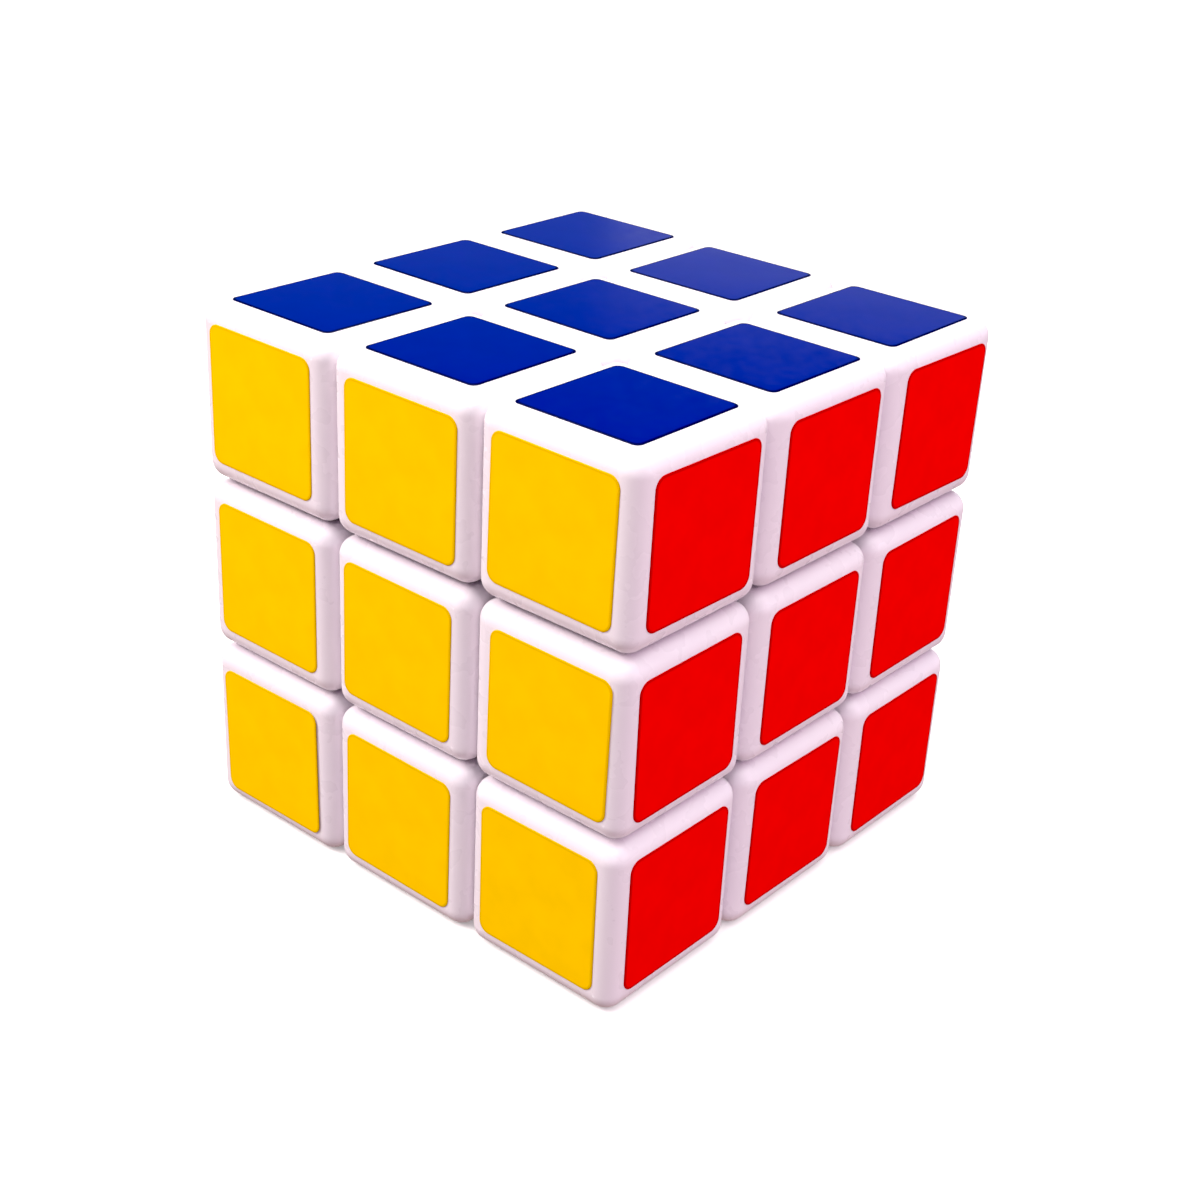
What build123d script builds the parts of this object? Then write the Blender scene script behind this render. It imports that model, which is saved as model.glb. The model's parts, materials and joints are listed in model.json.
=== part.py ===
from build123d import *
import itertools
import os

# A twisty puzzle cube with three layers each way. The origin is the centre of its core.
# +Z points up, -Y is the front face and +X is the right-hand face.
#
# Every cut between pieces that turn against each other is either a flat slice plane or a
# sphere about the origin. A face turn keeps both where they are, so any face can turn by
# any angle and no two pieces meet. The slices lie further in for the feet than for the
# blocks, which is what hooks each corner under its edges and each edge under its centres.

# Driving dimensions, in millimetres
cube_width = 57.0  # over the stickers
sticker_thickness = 0.1
block_slice = cube_width / 6  # slice plane between the outer blocks, from the origin
foot_slice = 6.0  # slice plane between the feet, from the origin
slice_clearance = 0.2  # from a slice plane to the plastic on each side
block_round = 1.95  # radius on every edge of a block
wall = 1.5
vent_radius = 2.4  # moulding hole through a foot into the hollow block

# Radii of the spheres about the origin that bound the layers
block_floor = 20.6  # underside of the blocks
foot_top = 20.3
foot_bottom = 15.6
flange_top = 15.3

# Core and the tension screw on each arm
core_ball = 6.5
arm_radius = 3.4
arm_end = 9.0
pilot_radius = 1.25
pilot_depth = 5.6
shank_radius = 1.2
screw_tip = 3.8
head_seat = 17.7
head_radius = 2.7
head_height = 1.6
recess_width = 0.7
recess_depth = 1.0
washer_radius = 3.4
washer_bore = 1.4
washer_thickness = 0.5
wire_radius = 0.35
spring_radius = 2.4
spring_turns = 4
stack_gap = 0.05  # between the screw's head, its washers and its spring

# Centre hub and cap
hub_floor = 9.2  # where the hub sits on the core arm, from the origin
hub_floor_thickness = 2.0
boss_radius = 5.0
stem_radius = 5.7
flange_radius = 8.0
well_radius = 4.2
screw_clearance_radius = 1.5
cap_thickness = 2.8
cap_lip = 2.0
cap_lip_wall = 1.2
cap_fit = 0.06  # from the cap's lip to the hub's wall

# Stickers: the sheet for the top and bottom is cut a little smaller than the sides', and its
# corners are tighter
sticker_width = {"up": 14.2, "down": 14.2}
sticker_round = {"up": 0.8, "down": 0.8}
side_sticker_width = 14.65
side_sticker_round = 1.2

# Derived sizes
plastic_face = cube_width / 2 - sticker_thickness  # outer face of the plastic
block_face = block_slice + slice_clearance  # a corner's or an edge's inner faces
block_width = plastic_face - block_face
block_middle = (plastic_face + block_face) / 2
middle_width = 2 * (block_slice - slice_clearance)  # a block between two slices
foot_face = foot_slice + slice_clearance
middle_foot_width = 2 * (foot_slice - slice_clearance)
neck_face = block_face + slice_clearance
neck_width = middle_foot_width - 2 * slice_clearance
cap_seat = plastic_face - cap_thickness
well_floor = hub_floor + hub_floor_thickness
tray_width = middle_width - 2 * wall  # the hub's square hollow under its cap
lip_width = tray_width - 2 * cap_fit
upper_washer = head_seat - stack_gap - washer_thickness
lower_washer = well_floor + 2 * stack_gap
spring_foot = lower_washer + washer_thickness + stack_gap + wire_radius
spring_height = upper_washer - stack_gap - wire_radius - spring_foot

# Each face of the cube by name: its plane has the outward normal
face_planes = {
    "up": Plane(origin=(0, 0, 0), x_dir=(1, 0, 0), z_dir=(0, 0, 1)),
    "down": Plane(origin=(0, 0, 0), x_dir=(1, 0, 0), z_dir=(0, 0, -1)),
    "front": Plane(origin=(0, 0, 0), x_dir=(1, 0, 0), z_dir=(0, -1, 0)),
    "back": Plane(origin=(0, 0, 0), x_dir=(1, 0, 0), z_dir=(0, 1, 0)),
    "right": Plane(origin=(0, 0, 0), x_dir=(0, 1, 0), z_dir=(1, 0, 0)),
    "left": Plane(origin=(0, 0, 0), x_dir=(0, 1, 0), z_dir=(-1, 0, 0)),
}
opposite_faces = (("up", "down"), ("front", "back"), ("right", "left"))


def save(part, name):
    """Labels a finished piece and writes it as one STEP file."""
    part.label = name
    export_step(part, f"parts/{name}.step")


def save_copy(form, name, plane):
    """Writes a copy of a piece, carried from the ground plane's axes to another plane's."""
    with BuildPart() as piece:
        with Locations(plane):
            add(form)
    save(piece.part, name)


def normal(face):
    return face_planes[face].z_dir


def corner_plane(faces):
    """Carries the corner at +X +Y +Z to the corner where three faces meet."""
    one, two, up = (normal(face) for face in reversed(faces))
    if one.cross(two).dot(up) < 0:
        one, two = two, one
    return Plane(origin=(0, 0, 0), x_dir=one, z_dir=up)


# --- Core: a ball with six arms, each with a pilot hole for its screw ---------------------
with BuildPart() as core:
    Sphere(core_ball)
    for plane in face_planes.values():
        with BuildSketch(plane):
            Circle(arm_radius)
        extrude(amount=arm_end)
    with Locations(*(plane.offset(arm_end) for plane in face_planes.values())):
        Hole(pilot_radius, depth=pilot_depth)

# --- Tension screw, its spring and its two washers, on the arm that points up -------------
with BuildPart() as screw:
    with BuildSketch(Plane.XY.offset(screw_tip)):
        Circle(shank_radius)
    extrude(amount=head_seat - screw_tip)
    with BuildSketch(Plane.XY.offset(head_seat)):
        Circle(head_radius)
    extrude(amount=head_height)
    fillet(screw.edges().group_by(Axis.Z)[-1], radius=head_height / 3)
    chamfer(screw.edges().group_by(Axis.Z)[0], length=shank_radius / 2)
    with BuildSketch(Plane.XY.offset(head_seat + head_height)):
        Rectangle(head_radius * 1.3, recess_width)
        Rectangle(recess_width, head_radius * 1.3)
    extrude(amount=-recess_depth, mode=Mode.SUBTRACT)

with BuildPart() as washers:
    for height in (lower_washer, upper_washer):
        with BuildSketch(Plane.XY.offset(height)):
            Circle(washer_radius)
            Circle(washer_bore, mode=Mode.SUBTRACT)
        extrude(amount=washer_thickness)

with BuildPart() as spring:
    with BuildLine(Plane.XY.offset(spring_foot)):
        coil = Helix(pitch=spring_height / spring_turns, height=spring_height, radius=spring_radius)
    with BuildSketch(Plane(origin=coil @ 0, z_dir=coil % 0)):
        Circle(wire_radius)
    sweep(path=coil)

with BuildPart() as tension_screw_sets:
    with Locations(*face_planes.values()):
        add(screw.part)
        add(washers.part)
        add(spring.part)

# --- Centre hub for the up face: a stem with a flange under a square block -----------------
# The spheres that trim it are turned so that their poles lie clear of the cuts.
with BuildPart() as hub_hollow:
    with BuildSketch(Plane.XY.offset(foot_bottom)):
        Rectangle(tray_width, tray_width)
        Circle(stem_radius, mode=Mode.SUBTRACT)
    extrude(amount=cap_seat - foot_bottom)
    Sphere(block_floor + wall, rotation=(90, 0, 0), mode=Mode.SUBTRACT)

with BuildPart() as hub_flange:
    with BuildSketch(Plane.XY.offset(well_floor)):
        Circle(flange_radius)
    extrude(amount=flange_top)
    Sphere(flange_top, rotation=(90, 0, 0), mode=Mode.INTERSECT)

with BuildPart() as centre_hub:
    with BuildSketch(Plane.XY.offset(foot_bottom)):
        RectangleRounded(middle_width, middle_width, block_round)
    extrude(amount=cap_seat - foot_bottom)
    Sphere(block_floor, rotation=(90, 0, 0), mode=Mode.SUBTRACT)
    add(hub_hollow.part, mode=Mode.SUBTRACT)
    add(hub_flange.part)
    with BuildSketch(Plane.XY.offset(well_floor)):
        Circle(stem_radius)
    extrude(amount=cap_seat - well_floor)
    with BuildSketch(Plane.XY.offset(hub_floor)):
        Circle(boss_radius)
    extrude(amount=hub_floor_thickness)
    with Locations(Plane.XY.offset(cap_seat)):
        CounterBoreHole(screw_clearance_radius, well_radius, cap_seat - well_floor)

# --- Centre cap for the up face: a rounded plate with a square lip inside the hub ---------
with BuildPart() as centre_cap:
    with BuildSketch(Plane.XY.offset(cap_seat)):
        RectangleRounded(middle_width, middle_width, block_round)
    extrude(amount=cap_thickness)
    fillet(centre_cap.faces().sort_by(Axis.Z)[-1].edges(), radius=block_round)
    with BuildSketch(Plane.XY.offset(cap_seat)):
        Rectangle(lip_width, lip_width)
        Rectangle(lip_width - 2 * cap_lip_wall, lip_width - 2 * cap_lip_wall, mode=Mode.SUBTRACT)
    extrude(amount=-cap_lip)

# --- Edge piece for the up and right faces ------------------------------------------------
# The boxes of the feet and the neck reach past the spheres that trim them.
diagonal = Plane(origin=(0, 0, 0), z_dir=(1, 0, 1))
with BuildPart() as edge_foot:
    with Locations((foot_face, 0, foot_face)):
        Box(foot_top, middle_foot_width, foot_top, align=(Align.MIN, Align.CENTER, Align.MIN))
    Sphere(foot_top, rotation=(0, 0, 180), mode=Mode.INTERSECT)
    Sphere(foot_bottom, rotation=(0, 0, 180), mode=Mode.SUBTRACT)

with BuildPart() as edge_neck:
    with Locations((neck_face, 0, neck_face)):
        Box(foot_top, neck_width, foot_top, align=(Align.MIN, Align.CENTER, Align.MIN))
    Sphere(block_floor + wall / 2, rotation=(0, 0, 180), mode=Mode.INTERSECT)
    Sphere((foot_top + foot_bottom) / 2, rotation=(0, 0, 180), mode=Mode.SUBTRACT)

with BuildPart() as edge_hollow:
    with Locations((block_middle, 0, block_middle)):
        Box(block_width - 2 * wall, middle_width - 2 * wall, block_width - 2 * wall)
    Sphere(block_floor + wall, rotation=(0, 0, 180), mode=Mode.SUBTRACT)

with BuildPart() as edge:
    with Locations((block_middle, 0, block_middle)):
        Box(block_width, middle_width, block_width)
    fillet(edge.edges(), radius=block_round)
    Sphere(block_floor, rotation=(0, 0, 180), mode=Mode.SUBTRACT)
    add(edge_foot.part)
    add(edge_neck.part)
    add(edge_hollow.part, mode=Mode.SUBTRACT)
    with BuildSketch(diagonal):
        Circle(vent_radius)
    extrude(amount=block_floor + 2 * wall, mode=Mode.SUBTRACT)

# --- Corner piece at +X +Y +Z -------------------------------------------------------------
body_diagonal = Plane(origin=(0, 0, 0), z_dir=(1, 1, 1))
with BuildPart() as corner_foot:
    with Locations((foot_face, foot_face, foot_face)):
        Box(foot_top, foot_top, foot_top, align=(Align.MIN, Align.MIN, Align.MIN))
    Sphere(foot_top, mode=Mode.INTERSECT)
    Sphere(foot_bottom, mode=Mode.SUBTRACT)

with BuildPart() as corner_hollow:
    with Locations((block_middle, block_middle, block_middle)):
        Box(block_width - 2 * wall, block_width - 2 * wall, block_width - 2 * wall)
    Sphere(block_floor + wall, mode=Mode.SUBTRACT)

with BuildPart() as corner:
    with Locations((block_middle, block_middle, block_middle)):
        Box(block_width, block_width, block_width)
    fillet(corner.edges(), radius=block_round)
    add(corner_foot.part)
    add(corner_hollow.part, mode=Mode.SUBTRACT)
    with BuildSketch(body_diagonal):
        Circle(vent_radius)
    extrude(amount=block_floor + 2 * wall, mode=Mode.SUBTRACT)


def save_stickers(name, faces):
    """Writes the stickers of one cubie: one on each of the faces that it shows."""
    middle = sum((normal(face) * block_middle for face in faces), Vector(0, 0, 0))
    with BuildPart() as stickers:
        for face in faces:
            plane = face_planes[face]
            place = plane.to_local_coords(middle)
            width = sticker_width.get(face, side_sticker_width)
            radius = sticker_round.get(face, side_sticker_round)
            with BuildSketch(plane.offset(plastic_face)):
                with Locations((place.X, place.Y)):
                    RectangleRounded(width, width, radius)
            extrude(amount=sticker_thickness)
    save(stickers.part, name)


os.makedirs("parts", exist_ok=True)
save(core.part, "core")
save(tension_screw_sets.part, "tension_screw_sets")

for face, plane in face_planes.items():
    save_copy(centre_hub.part, f"centre_hub_{face}", plane)
    save_copy(centre_cap.part, f"centre_cap_{face}", plane)
    save_stickers(f"sticker_{face}", (face,))

for first, second in itertools.combinations(opposite_faces, 2):
    for faces in itertools.product(first, second):
        plane = Plane(origin=(0, 0, 0), x_dir=normal(faces[1]), z_dir=normal(faces[0]))
        save_copy(edge.part, "edge_" + "_".join(faces), plane)
        save_stickers("stickers_" + "_".join(faces), faces)

for faces in itertools.product(*opposite_faces):
    save_copy(corner.part, "corner_" + "_".join(faces), corner_plane(faces))
    save_stickers("stickers_" + "_".join(faces), faces)
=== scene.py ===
"""A stickered twisty puzzle cube on a pale floor, in soft studio light.

The white plastic, the core and the hardware are the CAD pieces. Each sticker is a die-cut vinyl
sheet, made here in the place of the CAD's plain one. Lengths are in metres.
"""

import json
import math
import random

import bmesh
import bpy
from mathutils import Matrix, Vector


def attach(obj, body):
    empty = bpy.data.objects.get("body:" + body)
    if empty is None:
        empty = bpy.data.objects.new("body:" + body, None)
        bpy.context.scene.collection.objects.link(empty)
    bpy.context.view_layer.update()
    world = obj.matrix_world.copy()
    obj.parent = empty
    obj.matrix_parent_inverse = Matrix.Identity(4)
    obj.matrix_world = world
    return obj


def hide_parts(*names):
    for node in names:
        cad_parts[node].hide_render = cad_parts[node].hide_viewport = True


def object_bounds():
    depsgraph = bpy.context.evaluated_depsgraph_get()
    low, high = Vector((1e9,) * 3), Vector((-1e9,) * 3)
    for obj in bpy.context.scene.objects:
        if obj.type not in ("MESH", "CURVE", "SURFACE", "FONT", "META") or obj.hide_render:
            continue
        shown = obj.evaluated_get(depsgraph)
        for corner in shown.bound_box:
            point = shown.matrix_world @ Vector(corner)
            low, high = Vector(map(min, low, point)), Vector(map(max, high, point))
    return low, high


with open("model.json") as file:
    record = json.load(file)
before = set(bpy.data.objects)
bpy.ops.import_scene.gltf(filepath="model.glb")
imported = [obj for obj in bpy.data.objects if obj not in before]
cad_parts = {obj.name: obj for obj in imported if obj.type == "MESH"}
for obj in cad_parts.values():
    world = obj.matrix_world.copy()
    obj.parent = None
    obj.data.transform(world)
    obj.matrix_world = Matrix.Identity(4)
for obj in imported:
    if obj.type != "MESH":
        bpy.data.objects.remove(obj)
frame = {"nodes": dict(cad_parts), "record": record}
cad_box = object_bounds()

MM = 0.001

# Each face of the cube: its outward normal, the direction that is to its right as it is looked
# at, and its vinyl
FACES = {
    "up": (Vector((0, 0, 1)), Vector((1, 0, 0)), "vinyl_blue"),
    "down": (Vector((0, 0, -1)), Vector((1, 0, 0)), "vinyl_black"),
    "front": (Vector((0, -1, 0)), Vector((1, 0, 0)), "vinyl_yellow"),
    "back": (Vector((0, 1, 0)), Vector((-1, 0, 0)), "vinyl_green"),
    "right": (Vector((1, 0, 0)), Vector((0, 1, 0)), "vinyl_red"),
    "left": (Vector((-1, 0, 0)), Vector((0, -1, 0)), "vinyl_orange"),
}
# Each vinyl's pigment, and how much of it is left at the cut edge
VINYL_COLOURS = {
    "vinyl_blue": ((0.0005, 0.008, 0.215), 0.25),
    "vinyl_black": ((0.012, 0.012, 0.014), 0.6),
    "vinyl_yellow": ((1.0, 0.61, 0.001), 0.78),
    "vinyl_green": ((0.004, 0.22, 0.03), 0.5),
    "vinyl_red": ((0.91, 0.0008, 0.0008), 0.6),
    "vinyl_orange": ((0.95, 0.17, 0.005), 0.65),
}
PLASTIC_WHITE = (0.865, 0.805, 0.865)
PLASTIC_WARM = (0.875, 0.815, 0.86)
CORE_WHITE = (0.78, 0.78, 0.80)
CORE_WARM = (0.82, 0.81, 0.80)
# Painted shade deep in the slots, where little open sky reaches: its colour, how far off a wall
# still shelters it, and how much of the open sky is left where it is darkest and where it ends
PAINTED_SHADE_COLOUR = (0.07, 0.015, 0.08)
PAINTED_SHADE_REACH = 3.0 * MM
PAINTED_SHADE_FULL = 0.0
PAINTED_SHADE_GONE = 0.15

# A sticker: the sheet's thickness, its corner radius and how far its placing by hand wanders
SHEET_THICKNESS = 0.10 * MM
SIDE_CORNER_RADIUS = 1.2 * MM
TOP_CORNER_RADIUS = 0.7 * MM
CORNER_STEPS = 10
# The rings of a sticker's skin round its edge: how far in from the cut in millimetres, the height
# as a share of the thickness, and how much of the edge's darker tone shows
SKIN_RINGS = (
    (0.0, -0.1, 1.0),
    (0.0, 0.55, 1.0),
    (0.02, 0.78, 1.0),
    (0.06, 0.94, 1.0),
    (0.16, 1.0, 1.0),
    (0.32, 1.0, 0.0),
)
# The rings inside those, as shares of the way from the edge to the middle
INNER_RINGS = (0.1, 0.25, 0.4, 0.6, 0.8)
# A ring's corner radius is never less than this share of its half width
SHARPEST_RING = 0.1
# The sheet's slight waves: their height, and how far across and up they take for one radian
RIPPLE_HEIGHT = 0.006 * MM
RIPPLE_ACROSS = 2.6 * MM
RIPPLE_UP = 3.1 * MM
PLACING_SHIFT = 0.12 * MM
PLACING_TURN = math.radians(0.5)
# The sticker that is coming loose along its right-hand edge, where that starts as a share of its
# half width, and how far the edge has lifted
PEELING_STICKER = "sticker_down_front_left_front"
PEEL_START = 0.55
PEEL_HEIGHT = 0.12 * MM

# The camera: how far round and up it is, its roll, its distance from the middle of the cube and how
# far right and up it is off that line, and its lens
VIEW_AZIMUTH = math.radians(39.52)
VIEW_ELEVATION = math.radians(26.42)
VIEW_ROLL = math.radians(-3.04)
VIEW_DISTANCE = 199.07 * MM
VIEW_OFFSET = (0.88 * MM, -3.69 * MM)
LENS_MM = 56.06

# The floor: how far it runs each way, and its glow
FLOOR_REACH = 2.0
FLOOR_GLOW = 0.25
# The cove behind it all: where it leaves the floor, its curve, its height and its glow
COVE_START = 1.2
COVE_RADIUS = 0.6
COVE_HEIGHT = 1.4
COVE_STEPS = 12
COVE_SIDES = 96
COVE_GLOW = 0.5
# The room's light: its tone at each height, from straight down at -1 to straight up at 1
ROOM_TONES = (
    (-1.0, (0.46, 0.31, 0.26)),
    (-0.2, (0.44, 0.32, 0.32)),
    (0.0, (0.40, 0.34, 0.44)),
    (0.22, (0.36, 0.46, 0.46)),
    (0.29, (0.12, 0.38, 0.40)),
    (0.33, (0.0, 0.14, 0.22)),
    (0.38, (0.03, 0.04, 0.05)),
    (0.60, (0.05, 0.04, 0.05)),
    (1.0, (0.30, 0.28, 0.30)),
)
# The softboxes, which all point at the cube: place, width, height, watts, colour, and whether
# they show in reflections
SOFTBOXES = {
    "top_softbox": ((-0.1, 0.0, 1.5), 3.0, 3.0, 66.0, (1.0, 1.0, 0.97), True),
    "left_softbox": ((-0.26, -0.28, 0.25), 0.22, 0.22, 1.7, (1.0, 0.88, 0.86), False),
    "right_softbox": ((0.48, 0.12, 0.16), 0.25, 0.25, 1.15, (1.0, 0.74, 0.90), False),
    "front_fill": ((0.32, -0.36, 0.05), 0.30, 0.30, 0.25, (1.0, 0.60, 0.90), False),
    "rim_panel": ((-0.35, 0.92, 0.205), 0.66, 0.22, 0.34, (1.0, 0.86, 0.82), True),
}
# The light that the picture shows as pure black
BLACK_LEVEL = 0.012


# --- Materials ----------------------------------------------------------------------------
def node(tree, kind, **values):
    """Adds a shader node and sets its properties, or its inputs by their names."""
    made = tree.nodes.new(kind)
    for name, value in values.items():
        if hasattr(made, name):
            setattr(made, name, value)
        else:
            made.inputs[name.replace("_", " ")].default_value = value
    return made


def surface(name):
    """A new material and its tree, its shader and a noise maker in the object's own space."""
    material = bpy.data.materials.new(name)
    material.use_nodes = True
    tree = material.node_tree
    shader = tree.nodes["Principled BSDF"]
    place = node(tree, "ShaderNodeTexCoord").outputs["Object"]

    def noise(scale, detail=2.0):
        made = node(tree, "ShaderNodeTexNoise", Scale=scale, Detail=detail)
        tree.links.new(place, made.inputs["Vector"])
        return made.outputs["Fac"]

    return material, tree, shader, noise


def vary(tree, source, low, high, socket):
    """Drives a number from low to high by a noise."""
    made = node(tree, "ShaderNodeMapRange", From_Min=0.3, From_Max=0.7, To_Min=low, To_Max=high)
    tree.links.new(source, made.inputs["Value"])
    tree.links.new(made.outputs["Result"], socket)


def blend_colour(tree, source, one, other):
    """A colour between two, by a noise."""
    ramp = node(tree, "ShaderNodeValToRGB")
    ramp.color_ramp.elements[0].position = 0.35
    ramp.color_ramp.elements[0].color = (*one, 1)
    ramp.color_ramp.elements[1].position = 0.65
    ramp.color_ramp.elements[1].color = (*other, 1)
    tree.links.new(source, ramp.inputs["Fac"])
    return ramp.outputs["Color"]


def bump(tree, shader, *layers):
    """Chains bumps, each a noise, its depth in metres and its strength, into the normal."""
    normal = None
    for source, depth, strength in layers:
        made = node(tree, "ShaderNodeBump", Distance=depth, Strength=strength)
        tree.links.new(source, made.inputs["Height"])
        if normal:
            tree.links.new(normal, made.inputs["Normal"])
        normal = made.outputs["Normal"]
    tree.links.new(normal, shader.inputs["Normal"])


def moulded_plastic(name, one, other, roughness):
    """Moulded plastic: clouded a little, with a faint orange peel, and painted shade deep in its
    slots.
    """
    material, tree, shader, noise = surface(name)
    # Painted shade: the colour goes dark purple where ambient occlusion finds little open sky.
    openness = node(tree, "ShaderNodeAmbientOcclusion", samples=8, Distance=PAINTED_SHADE_REACH)
    unshaded = node(tree, "ShaderNodeMapRange", From_Min=PAINTED_SHADE_FULL, From_Max=PAINTED_SHADE_GONE)
    tree.links.new(openness.outputs["AO"], unshaded.inputs["Value"])
    mix = node(tree, "ShaderNodeMixRGB", Color1=(*PAINTED_SHADE_COLOUR, 1))
    tree.links.new(unshaded.outputs["Result"], mix.inputs["Fac"])
    tree.links.new(blend_colour(tree, noise(60), one, other), mix.inputs["Color2"])
    tree.links.new(mix.outputs["Color"], shader.inputs["Base Color"])
    vary(tree, noise(420), roughness - 0.02, roughness + 0.02, shader.inputs["Roughness"])
    bump(tree, shader, (noise(300), 0.01 * MM, 0.03), (noise(5200), 0.002 * MM, 0.1))
    shader.inputs["IOR"].default_value = 1.53
    return material


def vinyl(name, colour, edge_share):
    """Glossy vinyl in a colour that varies a little, with a darker cut edge."""
    material, tree, shader, noise = surface(name)
    darker = tuple(c * 0.95 for c in colour)
    body = blend_colour(tree, noise(260), darker, colour)
    edge = node(tree, "ShaderNodeAttribute", attribute_name="cut_edge")
    mix = node(tree, "ShaderNodeMixRGB", Color2=(*(c * edge_share for c in colour), 1))
    tree.links.new(edge.outputs["Fac"], mix.inputs["Fac"])
    tree.links.new(body, mix.inputs["Color1"])
    tree.links.new(mix.outputs["Color"], shader.inputs["Base Color"])
    vary(tree, noise(700), 0.13, 0.21, shader.inputs["Roughness"])
    bump(tree, shader, (noise(450), 0.01 * MM, 0.1), (noise(7000), 0.004 * MM, 0.1))
    shader.inputs["IOR"].default_value = 1.46
    shader.inputs["Specular IOR Level"].default_value = 0.05
    return material


def plated_steel(name):
    """Zinc-plated steel with fine scratches."""
    material, tree, shader, noise = surface(name)
    zinc = blend_colour(tree, noise(900), (0.50, 0.51, 0.54), (0.66, 0.66, 0.64))
    tree.links.new(zinc, shader.inputs["Base Color"])
    vary(tree, noise(2500), 0.25, 0.42, shader.inputs["Roughness"])
    bump(tree, shader, (noise(9000), 0.01 * MM, 0.2))
    shader.inputs["Metallic"].default_value = 1.0
    return material


def pale_paint(name, glow):
    """Pale matt paint, with a tone that drifts a little, and a little glow like a light table's."""
    material, tree, shader, noise = surface(name)
    paint = blend_colour(tree, noise(3), (0.93, 0.93, 0.93), (0.95, 0.95, 0.95))
    tree.links.new(paint, shader.inputs["Base Color"])
    vary(tree, noise(9), 0.75, 0.85, shader.inputs["Roughness"])
    shader.inputs["Emission Color"].default_value = (1.0, 1.0, 1.0, 1)
    shader.inputs["Emission Strength"].default_value = glow
    return material


materials = {name: vinyl(name, *look) for name, look in VINYL_COLOURS.items()}
materials["white_plastic"] = moulded_plastic("white_plastic", PLASTIC_WHITE, PLASTIC_WARM, 0.28)
materials["core_plastic"] = moulded_plastic("core_plastic", CORE_WHITE, CORE_WARM, 0.45)
materials["steel"] = plated_steel("steel")


def dress(piece, slot):
    """Gives a piece the material of one of the record's slots."""
    if not piece.material_slots:
        piece.data.materials.append(None)
    for place in piece.material_slots:
        place.material = materials[slot]


# --- Stickers -----------------------------------------------------------------------------
def separate_solids(name):
    """The lowest and highest corners of each separate solid of a CAD node."""
    shape = bmesh.new()
    shape.from_mesh(frame["nodes"][name].data)
    bmesh.ops.remove_doubles(shape, verts=shape.verts, dist=1e-3 * MM)
    shape.verts.index_update()
    unseen = {vert.index: vert for vert in shape.verts}
    found = []
    while unseen:
        edge_of_search = [unseen.pop(min(unseen))]
        corners = []
        while edge_of_search:
            vert = edge_of_search.pop()
            corners.append(vert.co.copy())
            for link in vert.link_edges:
                other = link.other_vert(vert)
                if other.index in unseen:
                    edge_of_search.append(unseen.pop(other.index))
        low = Vector([min(c[i] for c in corners) for i in range(3)])
        high = Vector([max(c[i] for c in corners) for i in range(3)])
        found.append((low, high))
    shape.free()
    return found


def rounded_square(half, radius):
    """The points round a square with round corners, anticlockwise from its right-hand side."""
    points = []
    arc_centre = half - radius
    for quarter in range(4):
        turn = Matrix.Rotation(quarter * math.pi / 2, 2)
        for step in range(CORNER_STEPS + 1):
            angle = step / CORNER_STEPS * math.pi / 2
            across = arc_centre + radius * math.cos(angle)
            up = arc_centre + radius * math.sin(angle)
            points.append(turn @ Vector((across, up)))
    return points


def sticker_mesh(name, half, corner_radius, peel):
    """A die-cut sheet that lies on z = 0, with its top edges rounded over by the die."""
    draw = random.Random(name)
    ripple = [draw.uniform(0, math.tau) for _ in range(2)]
    inner_rings = tuple((half / MM * share, 1.0, 0.0) for share in INNER_RINGS)
    shape = bmesh.new()
    cut_edge = shape.verts.layers.float.new("cut_edge")

    def vert(x, y, share, dark):
        wave = math.sin(x / RIPPLE_ACROSS + ripple[0]) * math.sin(y / RIPPLE_UP + ripple[1])
        inside = min(1.0, max(0.0, (half - max(abs(x), abs(y))) / MM))
        height = SHEET_THICKNESS * share + RIPPLE_HEIGHT * wave * inside
        if peel:
            height += PEEL_HEIGHT * max(0.0, (x / half - PEEL_START) / (1 - PEEL_START)) ** 2
        made = shape.verts.new((x, y, height))
        made[cut_edge] = dark
        return made

    loops = []
    for inset, share, dark in SKIN_RINGS + inner_rings:
        inset *= MM
        radius = max(corner_radius - inset, SHARPEST_RING * (half - inset))
        loops.append([vert(p.x, p.y, share, dark) for p in rounded_square(half - inset, radius)])
    count = len(loops[0])
    for outer, inner in zip(loops, loops[1:]):
        for i in range(count):
            shape.faces.new((outer[i], outer[(i + 1) % count], inner[(i + 1) % count], inner[i]))
    middle = vert(0, 0, 1.0, 0.0)
    for i in range(count):
        shape.faces.new((loops[-1][i], loops[-1][(i + 1) % count], middle))
    shape.faces.new(reversed(loops[0]))
    for face in shape.faces:
        face.smooth = len(face.verts) < 5
    mesh = bpy.data.meshes.new(name)
    shape.to_mesh(mesh)
    shape.free()
    return mesh


def lay_sticker(cad_node, body, low, high):
    """Makes one finished sticker over one of a CAD node's plain ones, whose box is given."""
    size = high - low
    middle = (low + high) / 2
    thin = min(range(3), key=lambda i: size[i])
    face = next(f for f, (normal, _, _) in FACES.items() if normal[thin] * middle[thin] > 0)
    normal, across, slot = FACES[face]
    cubie = cad_node.partition("_")[2] if cad_node.startswith("stickers_") else "centre"
    name = f"sticker_{cubie}_{face}"
    half = max(size) / 2
    corner_radius = TOP_CORNER_RADIUS if face in ("up", "down") else SIDE_CORNER_RADIUS
    draw = random.Random(name)
    mesh = sticker_mesh(name, half, corner_radius, name == PEELING_STICKER)
    piece = bpy.data.objects.new(name, mesh)
    bpy.context.scene.collection.objects.link(piece)
    upward = normal.cross(across)
    turn = Matrix((across, upward, normal)).transposed().to_4x4()
    slip = Matrix.Rotation(draw.gauss(0, PLACING_TURN), 4, "Z")
    base = middle - normal * size[thin] / 2
    base += across * draw.gauss(0, PLACING_SHIFT) + upward * draw.gauss(0, PLACING_SHIFT)
    piece.matrix_world = Matrix.Translation(base) @ turn @ slip
    dress(piece, slot)
    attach(piece, body)
    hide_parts(cad_node)


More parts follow.
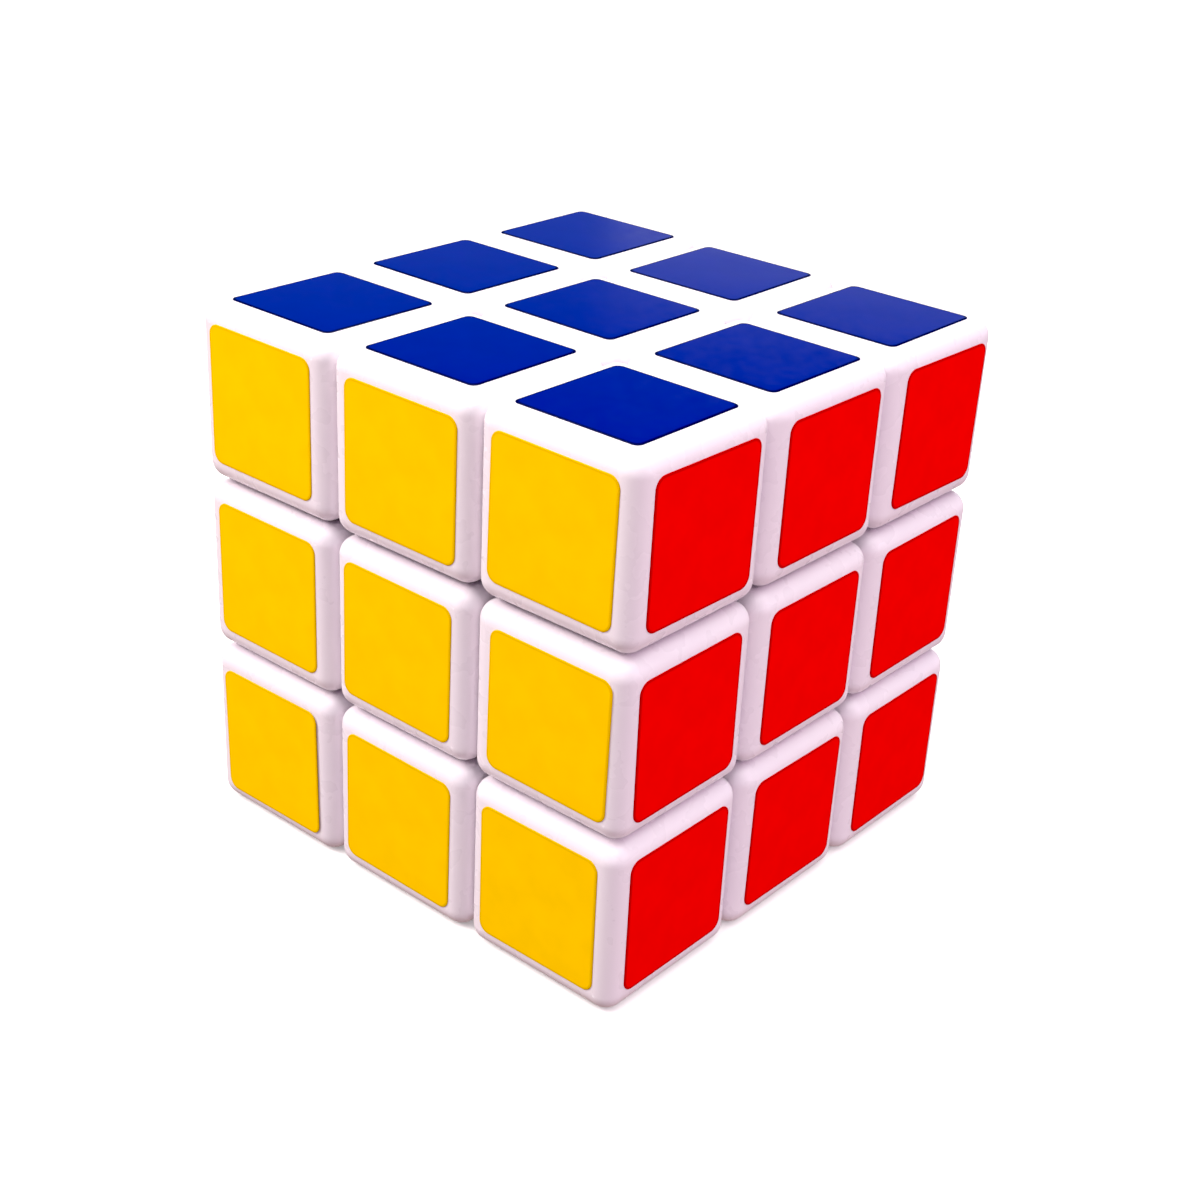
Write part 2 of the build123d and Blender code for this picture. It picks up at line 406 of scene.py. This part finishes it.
# --- The CAD pieces, each with its slot's material ----------------------------------------
slots = {part["node"]: part["material_slot"] for part in frame["record"]["subparts"]}
for body, members in frame["record"]["behaviour"]["bodies"].items():
    for name in members:
        if name.startswith("sticker"):
            for low, high in separate_solids(name):
                lay_sticker(name, body, low, high)
        else:
            dress(frame["nodes"][name], slots[name])


# --- Floor, light and camera --------------------------------------------------------------
def add_floor():
    """A floor under the cube, for the camera: bounced and mirrored rays pass through it."""
    far, level = FLOOR_REACH, cad_box[0][2]
    corners = [(-far, -far, level), (far, -far, level), (far, far, level), (-far, far, level)]
    mesh = bpy.data.meshes.new("floor")
    mesh.from_pydata(corners, [], [(0, 1, 2, 3)])
    floor = bpy.data.objects.new("floor", mesh)
    bpy.context.scene.collection.objects.link(floor)
    mesh.materials.append(pale_paint("pale_floor", FLOOR_GLOW))
    floor.visible_diffuse = False
    floor.visible_glossy = False


def add_cove():
    """A pale wall that curves up out of the floor all round. Only the camera sees it."""
    level = cad_box[0][2]
    quarter = [step / COVE_STEPS * math.pi / 2 for step in range(COVE_STEPS + 1)]
    profile = [
        (COVE_START + COVE_RADIUS * math.sin(a), COVE_RADIUS * (1 - math.cos(a))) for a in quarter
    ]
    profile.append((COVE_START + COVE_RADIUS, COVE_HEIGHT))
    corners = []
    for side in range(COVE_SIDES):
        turn = side / COVE_SIDES * math.tau
        corners += [(r * math.cos(turn), r * math.sin(turn), level + z) for r, z in profile]
    rows = len(profile)
    faces = []
    for side in range(COVE_SIDES):
        here, there = side * rows, (side + 1) % COVE_SIDES * rows
        faces += [(here + i, here + i + 1, there + i + 1, there + i) for i in range(rows - 1)]
    mesh = bpy.data.meshes.new("cove")
    mesh.from_pydata(corners, [], faces)
    mesh.shade_smooth()
    cove = bpy.data.objects.new("cove", mesh)
    bpy.context.scene.collection.objects.link(cove)
    mesh.materials.append(pale_paint("pale_cove", COVE_GLOW))
    cove.visible_diffuse = False
    cove.visible_glossy = False
    cove.visible_shadow = False


def add_softbox(name, place, width, height, watts, colour, mirrored):
    """An area light that points at the cube."""
    data = bpy.data.lights.new(name, "AREA")
    data.shape = "RECTANGLE"
    data.size = width
    data.size_y = height
    data.energy = watts
    data.color = colour
    light = bpy.data.objects.new(name, data)
    light.location = place
    light.rotation_euler = (-Vector(place)).to_track_quat("-Z", "Y").to_euler()
    light.visible_camera = False
    light.visible_glossy = mirrored
    bpy.context.scene.collection.objects.link(light)


def add_camera():
    """The camera: swung round and up from the front, then rolled, then set off its line."""
    swing = Matrix.Rotation(VIEW_AZIMUTH, 3, "Z")
    tilt = Matrix.Rotation(math.pi / 2 - VIEW_ELEVATION, 3, "X")
    axes = swing @ tilt @ Matrix.Rotation(-VIEW_ROLL, 3, "Z")
    place = axes @ Vector((*VIEW_OFFSET, VIEW_DISTANCE))
    data = bpy.data.cameras.new("camera")
    data.lens = LENS_MM
    data.sensor_width = 36.0
    data.clip_start = 0.01
    camera = bpy.data.objects.new("camera", data)
    camera.matrix_world = Matrix.Translation(place) @ axes.to_4x4()
    bpy.context.scene.collection.objects.link(camera)
    bpy.context.scene.camera = camera


def light_room():
    """The softboxes, a dim room between them, and the picture's black level."""
    world = bpy.data.worlds.new("room")
    world.use_nodes = True
    tree = world.node_tree
    ramp = node(tree, "ShaderNodeValToRGB")
    stops = ramp.color_ramp.elements
    for _ in range(len(ROOM_TONES) - len(stops)):
        stops.new(0.5)
    for stop, (height, tone) in zip(stops, ROOM_TONES):
        stop.position = 0.5 + height / 2
        stop.color = (*tone, 1)
    split = node(tree, "ShaderNodeSeparateXYZ")
    level = node(tree, "ShaderNodeMapRange", From_Min=-1, From_Max=1)
    tree.links.new(node(tree, "ShaderNodeTexCoord").outputs["Generated"], split.inputs[0])
    tree.links.new(split.outputs["Z"], level.inputs["Value"])
    tree.links.new(level.outputs["Result"], ramp.inputs["Fac"])
    tree.links.new(ramp.outputs["Color"], tree.nodes["Background"].inputs["Color"])
    bpy.context.scene.world = world
    for name, look in SOFTBOXES.items():
        add_softbox(name, *look)
    view = bpy.context.scene.view_settings
    view.view_transform = "Standard"
    view.use_curve_mapping = True
    view.curve_mapping.black_level = (BLACK_LEVEL, BLACK_LEVEL, BLACK_LEVEL)
    view.curve_mapping.update()


add_floor()
add_cove()
light_room()
add_camera()
